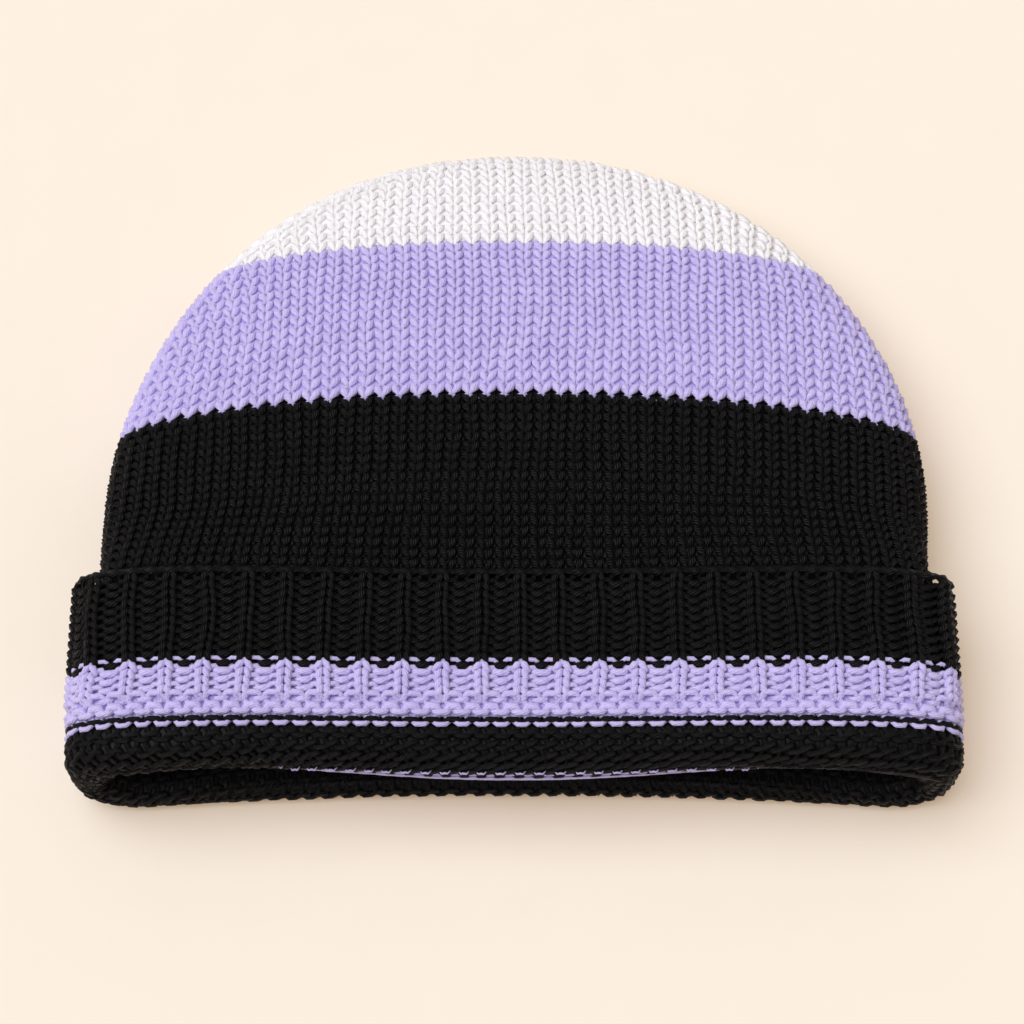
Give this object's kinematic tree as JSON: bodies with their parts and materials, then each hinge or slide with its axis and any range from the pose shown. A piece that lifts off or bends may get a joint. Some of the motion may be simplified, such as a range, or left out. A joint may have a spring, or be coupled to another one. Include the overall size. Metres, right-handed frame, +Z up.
{
  "type": "knit cap",
  "caption": "Knitted cap with a rounded crown in three colour bands and a turned-up ribbed cuff with a contrast stripe, lying flat on its back.",
  "frame": {"origin": "centre of the cap's footprint, on the surface it lies on", "axes": "+X across the cap, +Y from the mouth to the crown, +Z up from the surface through the thickness"},
  "size_m": [0.232, 0.1927, 0.038],
  "materials": {
    "white_yarn": "soft matte knit",
    "lavender_yarn": "soft matte knit",
    "black_yarn": "soft matte knit"
  },
  "bodies": {
    "root": {"crown_top": "white_yarn", "crown_band": "lavender_yarn", "crown_base": "black_yarn", "inner_stripe": "lavender_yarn", "cuff_roll": "black_yarn", "cuff_stripe": "lavender_yarn", "cuff_rib": "black_yarn"}
  },
  "joints": []
}
